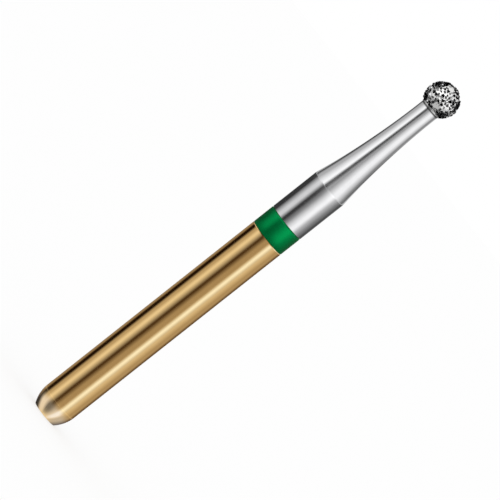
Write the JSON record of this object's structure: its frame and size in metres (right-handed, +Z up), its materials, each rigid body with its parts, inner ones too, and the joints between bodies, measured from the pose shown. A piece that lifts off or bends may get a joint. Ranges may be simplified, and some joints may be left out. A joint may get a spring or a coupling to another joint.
{
  "type": "dental bur",
  "caption": "Round diamond dental bur: a straight friction-grip shank plated gold, a green coarse-grit band, a waisted steel neck and a ball head set with crystals.",
  "frame": {"origin": "centre of the flat on the shank's free end", "axes": "+Z up the bur's own axis, from the shank's end to the ball head; +X and +Y are any two directions across it"},
  "size_m": [0.0016, 0.0016, 0.0197],
  "materials": {
    "steel": "satin",
    "gold_plating": "satin",
    "green_enamel": "gloss",
    "nickel": "satin",
    "diamond": "gloss"
  },
  "bodies": {
    "root": {"steel_blank": "steel", "shank_plating": "gold_plating", "color_band": "green_enamel", "nickel_bond": "nickel", "diamond_crystals": "diamond"}
  },
  "joints": []
}
